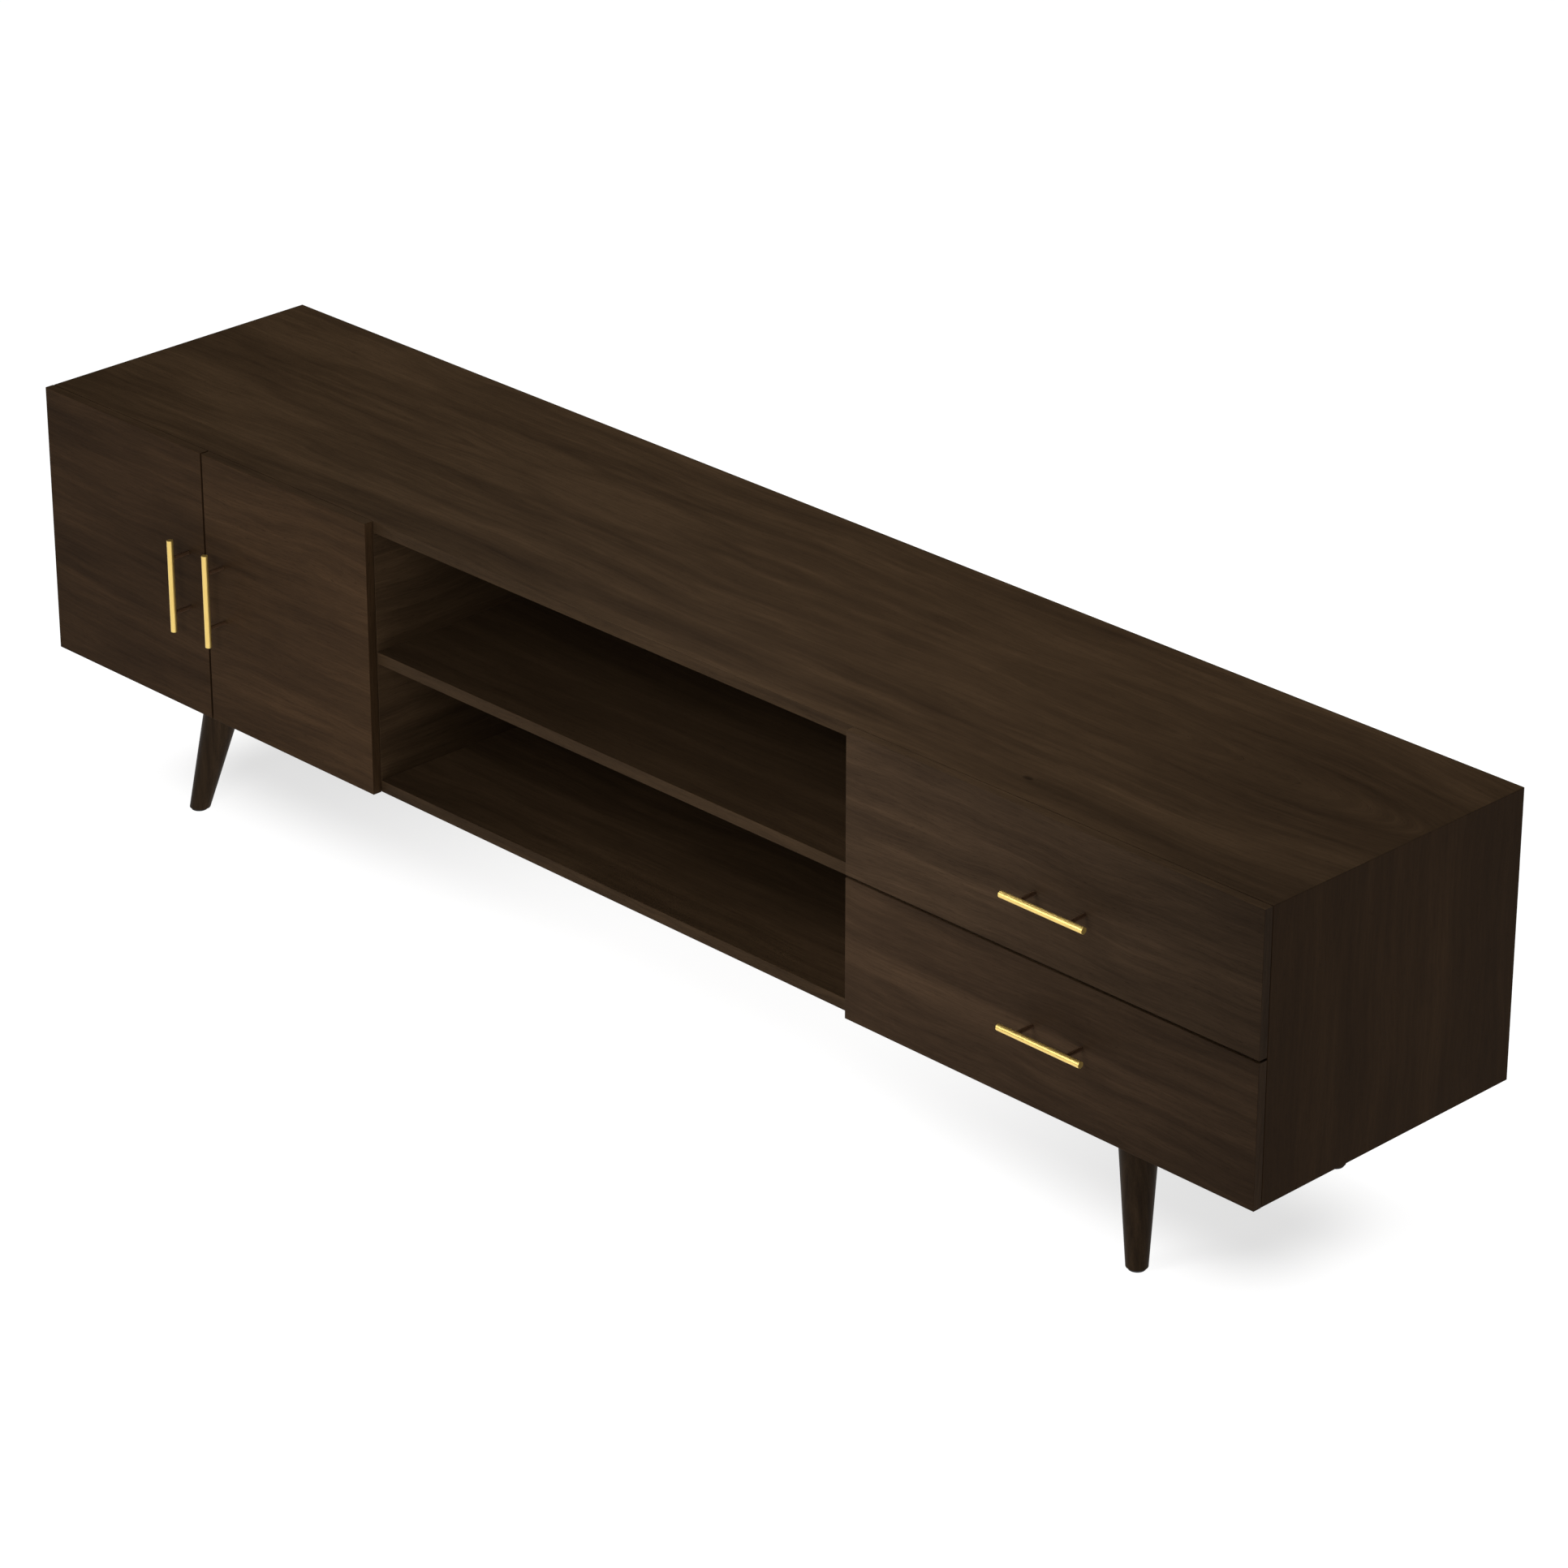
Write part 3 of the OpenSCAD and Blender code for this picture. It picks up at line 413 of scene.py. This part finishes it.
def solid_legs():
    """Turned solid wood: the figure runs up the leg and all through it."""
    dark, middle, light = srgb(38, 28, 19), srgb(49, 37, 25), srgb(58, 44, 31)
    material, graph, shader = new_material("leg_walnut")
    here = graph.here()
    growth = graph.noise(graph.stretch(here, (95.0, 160.0, 5.0)), detail=3.0, rough=0.6)
    fibre = graph.noise(graph.stretch(here, (1700.0, 1700.0, 45.0)), detail=2.0, rough=0.6)
    colour = graph.ramp(growth, (0.3, dark), (0.52, middle), (0.72, light))
    graph.put(shader["Base Color"], graph.lit(colour, graph.vary(fibre, least=0.82, most=1.12)))
    graph.put(shader["Roughness"], graph.vary(fibre, least=0.36, most=0.48))
    shader["Specular IOR Level"].default_value = 0.03
    graph.put(shader["Normal"], graph.bump(fibre, distance=0.04 * MM, strength=0.5))
    dress(material, "front_left_leg", "front_right_leg", "rear_left_leg", "rear_right_leg")


def back_boards():
    """Thin board with a dark brown paper face, slightly mottled."""
    dark, light = srgb(33, 24, 18), srgb(52, 39, 29)
    material, graph, shader = new_material("back_board")
    place = graph.split(sheet_place(graph, LENGTHWISE, sheet=71.0))
    streak = graph.noise(graph.stretch(place, (6.0, 120.0, None)), detail=3.0, rough=0.6)
    speck = graph.noise(graph.stretch(place, (700.0, 900.0, None)), detail=2.0)
    colour = graph.ramp(streak, (NOISE_LOW, dark), (NOISE_HIGH, light))
    graph.put(shader["Base Color"], graph.lit(colour, graph.vary(speck, least=0.86, most=1.12)))
    graph.put(shader["Roughness"], graph.vary(speck, least=0.55, most=0.68))
    shader["Specular IOR Level"].default_value = 0.3
    graph.put(shader["Normal"], graph.bump(speck, distance=0.05 * MM, strength=0.5))
    dress(material, "left_back_panel", "centre_back_panel", "right_back_panel")


def birch_ply(name, grain, thickness_axis, start):
    """Birch plywood: pale faces, and its plies in stripes on the cut edges.
    start is where the board begins along its thickness axis."""
    dark_face, light_face = srgb(189, 150, 105), srgb(214, 180, 134)
    dark_ply, light_ply = srgb(130, 94, 60), srgb(206, 172, 128)
    ply_t = 1.33 * MM
    first_sheet = 80.0
    material, graph, shader = new_material(name)
    place = graph.split(sheet_place(graph, grain, first_sheet + start))
    flame = graph.noise(graph.stretch(place, (5.0, 40.0, None)), detail=4.0, rough=0.6)
    fibre = graph.noise(graph.stretch(place, (60.0, 1500.0, None)), detail=2.0)
    face = graph.ramp(flame, (NOISE_LOW, dark_face), (NOISE_HIGH, light_face))
    through = graph.math("SUBTRACT", graph.here()["xyz".index(thickness_axis)], start)
    stripe = graph.spread(graph.math("PINGPONG", through, ply_t), 0.3 * MM, 1.0 * MM, smooth=True)
    colour = graph.mix(facing(graph, thickness_axis), graph.mix(stripe, dark_ply, light_ply), face)
    graph.put(shader["Base Color"], graph.lit(colour, graph.vary(fibre, least=0.9, most=1.07)))
    graph.put(shader["Roughness"], graph.vary(fibre, least=0.42, most=0.55))
    graph.put(shader["Normal"], graph.bump(fibre, distance=0.04 * MM, strength=0.5))
    return material


def drawer_boxes():
    for level in ("upper", "lower"):
        sides, back, bottom = [f"{level}_drawer_{part}" for part in ("sides", "back", "bottom")]
        dress(birch_ply(f"birch_{level}_sides", IN_DEPTH, "x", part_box(sides)[0].x), sides)
        dress(birch_ply(f"birch_{level}_back", LENGTHWISE, "y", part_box(back)[0].y), back)
        dress(birch_ply(f"birch_{level}_bottom", LENGTHWISE, "z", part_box(bottom)[0].z), bottom)


def beech_dowels():
    dark, light = srgb(176, 128, 82), srgb(214, 172, 124)
    material, graph, shader = new_material("beech")
    fleck = graph.noise(graph.stretch(graph.here(), (900.0, 900.0, 220.0)), detail=3.0)
    graph.put(shader["Base Color"], graph.ramp(fleck, (0.35, dark), (0.65, light)))
    graph.put(shader["Roughness"], graph.vary(fleck, least=0.5, most=0.62))
    graph.put(shader["Normal"], graph.bump(fleck, distance=0.05 * MM, strength=0.5))
    dress(material, "dowels")


# ---- Metal and plastic ----


def metal(name, dark, light, per_metre, smoothest, roughest, metallic=1.0):
    """Metal whose colour and gloss vary in fine marks. per_metre counts them along X, Y and Z.
    Metallic is below 1 where patina or lacquer covers part of it."""
    material, graph, shader = new_material(name)
    mark = graph.noise(graph.stretch(graph.here(), per_metre), detail=3.0, rough=0.6)
    graph.put(shader["Base Color"], graph.ramp(mark, (NOISE_LOW, dark), (NOISE_HIGH, light)))
    graph.put(shader["Roughness"], graph.vary(mark, least=smoothest, most=roughest))
    shader["Metallic"].default_value = metallic
    graph.put(shader["Normal"], graph.bump(mark, distance=0.01 * MM, strength=0.4))
    return material


def brass_pulls():
    """Brushed brass bars: the brush marks run along each bar."""
    brushed = dict(dark=srgb(228, 192, 106), light=srgb(250, 220, 134),
                   smoothest=0.3, roughest=0.42, metallic=0.8)
    across, along = 3000, 60
    upright = metal("brass_upright", per_metre=(across, across, along), **brushed)
    level = metal("brass_level", per_metre=(along, across, across), **brushed)
    dress(upright, "left_door_pull_bar", "right_door_pull_bar")
    dress(level, "upper_drawer_pull_bar", "lower_drawer_pull_bar")


def fittings():
    posts = metal("bronzed_posts", dark=srgb(70, 50, 34), light=srgb(98, 72, 50),
                  per_metre=(900, 900, 900), smoothest=0.4, roughest=0.55, metallic=0.35)
    steel = metal("nickelled_steel", dark=srgb(178, 180, 184), light=srgb(212, 214, 217),
                  per_metre=(200, 30, 400), smoothest=0.3, roughest=0.38)
    zinc = metal("zinc", dark=srgb(140, 144, 150), light=srgb(184, 187, 192),
                 per_metre=(420, 420, 420), smoothest=0.38, roughest=0.58)
    dress(posts, "left_door_pull_posts", "right_door_pull_posts",
          "upper_drawer_pull_posts", "lower_drawer_pull_posts")
    dress(steel, "shelf_pins", "cam_bolts", "case_screws", "leg_bolts", "hinge_arms", "slide_outer_rails",
          "left_hinge_links", "right_hinge_links", "left_hinge_cups", "right_hinge_cups",
          "left_door_screws", "right_door_screws", "upper_drawer_screws", "lower_drawer_screws",
          "upper_drawer_inner_rails", "lower_drawer_inner_rails")
    dress(zinc, "cam_discs", "leg_tee_nuts", "hinge_plates", "left_hinge_pins", "right_hinge_pins",
          "upper_slide_middle_rails", "lower_slide_middle_rails")


def black_plastic():
    """Moulded plastic with a fine spark-eroded grain."""
    dark, light = srgb(20, 20, 21), srgb(33, 33, 34)
    grains = 2600.0
    material, graph, shader = new_material("black_plastic")
    grain = graph.noise(graph.stretch(graph.here(), (grains, grains, grains)), detail=2.0)
    graph.put(shader["Base Color"], graph.ramp(grain, (NOISE_LOW, dark), (NOISE_HIGH, light)))
    graph.put(shader["Roughness"], graph.vary(grain, least=0.42, most=0.58))
    graph.put(shader["Normal"], graph.bump(grain, distance=0.05 * MM, strength=0.6))
    dress(material, "cable_grommets", "foot_glides")


# ---- Softened edges ----

EDGE_RADIUS = 0.5 * MM
# Points closer than these are on the same face, or are the same point.
SAME_FACE = 0.01 * MM
SAME_POINT = 0.002 * MM


def on_box_edge(point, low, high):
    """True where a point is on an edge of its node's box, which is where two outer faces meet."""
    return sum(min(abs(point[i] - low[i]), abs(point[i] - high[i])) < SAME_FACE for i in range(3)) >= 2


def soften(*names, square_back=False):
    """Rounds the outer edges of boards very slightly and leaves their holes alone.
    A square back keeps a front's seam against the case thin."""
    for name in names:
        board = nodes[name]
        low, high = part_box(name)
        group = board.vertex_groups.new(name="outer_edges")
        outer = [v for v in board.data.vertices if on_box_edge(v.co, low, high)]
        if square_back:
            outer = [v for v in outer if v.co.y < high.y - SAME_FACE]
        group.add([v.index for v in outer], 1.0, "REPLACE")
        weld = board.modifiers.new("weld", "WELD")
        weld.merge_threshold = SAME_POINT
        bevel = board.modifiers.new("soft_edges", "BEVEL")
        bevel.width = EDGE_RADIUS
        bevel.segments = 3
        bevel.limit_method = "VGROUP"
        bevel.vertex_group = group.name
        bevel.harden_normals = True


# ---- Studio ----

FLOOR_REACH = 30.0
DOME_RADIUS = 29.0


def glowing_material(name, grey):
    material, graph, shader = new_material(name)
    shader["Base Color"].default_value = (grey, grey, grey, 1.0)
    shader["Roughness"].default_value = 0.9
    shader["Specular IOR Level"].default_value = 0.0
    shader["Emission Color"].default_value = (*WHITE, 1.0)
    shader["Emission Strength"].default_value = 1.0
    return material, graph, shader


def white_floor():
    """A pale floor that glows, but less under the cabinet's two ends, as a faint soft shadow."""
    faintest, deepest = 0.06, 0.29
    centre_y = 0.02
    fades_from, fades_to = 0.02, 0.19
    mesh = bpy.data.meshes.new("floor")
    corners = [(x * FLOOR_REACH, y * FLOOR_REACH, 0) for x, y in ((-1, -1), (1, -1), (1, 1), (-1, 1))]
    mesh.from_pydata(corners, [], [(0, 1, 2, 3)])
    material, graph, shader = glowing_material("pale_floor", grey=0.2)
    x, y, _ = graph.here()
    from_middle = graph.math("ABSOLUTE", x)
    from_centre_line = graph.math("ABSOLUTE", graph.math("SUBTRACT", y, centre_y))
    depth = graph.spread(from_middle, 0.15 * HALF_LENGTH, 0.85 * HALF_LENGTH, faintest, deepest, smooth=True)
    before_end = graph.spread(from_middle, 0.84 * HALF_LENGTH, 0.98 * HALF_LENGTH, 1.0, 0.0, smooth=True)
    underneath = graph.spread(from_centre_line, fades_from, fades_to, 1.0, 0.0, smooth=True)
    shade = graph.math("MULTIPLY", graph.math("MULTIPLY", depth, before_end), underneath)
    graph.put(shader["Emission Strength"], graph.math("SUBTRACT", 1.0, shade))
    mesh.materials.append(material)
    floor = bpy.data.objects.new("floor", mesh)
    scene.collection.objects.link(floor)


def white_backdrop():
    """A white dome round the floor. It is only seen, and lights nothing."""
    bpy.ops.mesh.primitive_uv_sphere_add(segments=48, ring_count=24, radius=DOME_RADIUS)
    dome = bpy.context.object
    dome.name = "backdrop"
    dome.data.materials.append(glowing_material("white_backdrop", grey=0.0)[0])
    dome.visible_diffuse = False
    dome.visible_glossy = False
    dome.visible_shadow = False


def white_room():
    world = bpy.data.worlds.new("white_room")
    world.use_nodes = True
    background = world.node_tree.nodes["Background"].inputs
    background["Color"].default_value = (*WHITE, 1.0)
    background["Strength"].default_value = 0.06
    scene.world = world
    world.cycles_visibility.glossy = False


def softbox(name, place, size, target, watts, spread=180):
    light = bpy.data.lights.new(name, "AREA")
    light.shape = "RECTANGLE"
    light.size, light.size_y = size
    light.energy = watts
    light.spread = math.radians(spread)
    lamp = bpy.data.objects.new(name, light)
    lamp.location = place
    lamp.rotation_euler = (Vector(target) - Vector(place)).to_track_quat("-Z", "Y").to_euler()
    lamp.visible_camera = False
    scene.collection.objects.link(lamp)


def studio_lights():
    softbox("over_left", place=(-0.9, 0.3, 1.7), size=(0.8, 0.8), target=(-0.7, 0.1, 0.3), watts=12)
    softbox("over_right", place=(0.6, 0.3, 1.7), size=(0.8, 0.8), target=(0.6, 0.1, 0.3), watts=10)
    softbox("front_centre", place=(0.0, -1.3, 0.9), size=(0.5, 0.4), target=(0.0, 0.0, 0.25), watts=5.6)
    softbox("front_right", place=(0.35, -0.95, 1.15), size=(0.4, 0.4), target=(0.35, -0.2, 0.25),
            watts=2.4, spread=120)
    softbox("right_side", place=(3.6, -0.6, 0.9), size=(1.5, 1.0), target=(0.0, 0.0, 0.3), watts=3)
    softbox("back_fill", place=(2.2, 3.0, 1.7), size=(2.0, 1.5), target=(0.0, 0.2, 0.3), watts=10)


def camera():
    """Looks down on the cabinet from in front of its right end, with a long lens."""
    place = (4.39624, -4.17758, 3.14646)
    forward = Vector((-0.64662, 0.63006, -0.43000))
    lens = bpy.data.cameras.new("camera")
    lens.sensor_width = 36.0
    lens.lens = 132.83
    eye = bpy.data.objects.new("camera", lens)
    eye.location = place
    eye.rotation_euler = forward.to_track_quat("-Z", "Y").to_euler()
    scene.collection.objects.link(eye)
    scene.camera = eye


camera()
white_floor()
white_backdrop()
white_room()
studio_lights()
veneered_case()
veneered_fronts()
solid_legs()
back_boards()
drawer_boxes()
beech_dowels()
brass_pulls()
fittings()
black_plastic()
soften("top_panel", "bottom_panel", "left_side_panel", "right_side_panel", "left_divider",
       "right_divider", "centre_shelf", "cupboard_shelf")
soften("left_door", "right_door", "upper_drawer_front", "lower_drawer_front", square_back=True)
scene.view_settings.view_transform = "Standard"
